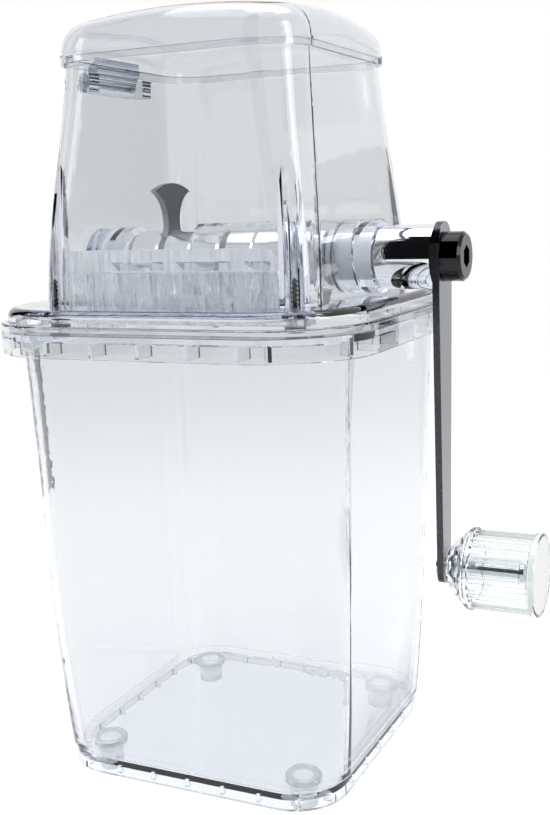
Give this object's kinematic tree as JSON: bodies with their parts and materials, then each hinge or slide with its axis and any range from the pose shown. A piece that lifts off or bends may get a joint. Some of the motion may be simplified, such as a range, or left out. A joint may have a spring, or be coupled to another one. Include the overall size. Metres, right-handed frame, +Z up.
{
  "type": "hand cranked ice shaver",
  "caption": "Clear plastic hand-cranked ice shaver: square container, lift-off hopper with hinged domed lid, chromed drum with fan blades over a comb, side crank with ribbed grip.",
  "frame": {"origin": "centre of the square footprint at the bottoms of the feet", "axes": "+X to the crank side, -Y to the front with the comb, +Z up"},
  "size_m": [0.1621, 0.1272, 0.2434],
  "materials": {
    "clear_plastic": "clear glossy SAN moulding",
    "clear_soft": "soft translucent plug",
    "white_plastic": "plain white",
    "polished_chrome": "bright chrome plate",
    "dark_chrome": "dark chrome plate",
    "steel": "turned steel",
    "blade_steel": "satin stainless sheet"
  },
  "bodies": {
    "container": {"container": "clear_plastic", "foot_front_left": "clear_soft", "foot_front_right": "clear_soft", "foot_rear_left": "clear_soft", "foot_rear_right": "clear_soft"},
    "upper": {"hopper": "clear_plastic", "left_bush": "white_plastic", "right_bush": "white_plastic", "comb": "clear_plastic", "comb_screws": "steel", "hinge_pin": "steel"},
    "lid": {"lid": "clear_plastic"},
    "crank": {"shaft": "steel", "clip_left": "steel", "clip_right": "steel", "spacer_1": "polished_chrome", "spacer_2": "polished_chrome", "spacer_3": "polished_chrome", "spacer_4": "polished_chrome", "spacer_5": "polished_chrome", "spacer_6": "polished_chrome", "blade_left": "blade_steel", "blade_middle": "blade_steel", "blade_right": "blade_steel", "crank_sleeve": "polished_chrome", "crank_arm": "blade_steel", "crank_screw": "dark_chrome", "grip_pin": "steel"},
    "grip": {"grip": "clear_plastic", "grip_cap": "white_plastic"}
  },
  "joints": [
    {"name": "hopper_lift", "type": "slide", "parent": "container", "child": "upper", "axis": [0, 0, 1], "range_m": [0, 0.06]},
    {"name": "lid_hinge", "type": "hinge", "parent": "upper", "child": "lid", "pos_m": [-0.046, 0, 0.224], "axis": [0, -1, 0], "range_deg": [0, 105]},
    {"name": "crank_turn", "type": "hinge", "parent": "upper", "child": "crank", "pos_m": [0.06, 0, 0.1665], "axis": [1, 0, 0], "continuous": true},
    {"name": "grip_spin", "type": "hinge", "parent": "crank", "child": "grip", "pos_m": [0.085, 0, 0.07], "axis": [1, 0, 0], "continuous": true}
  ]
}
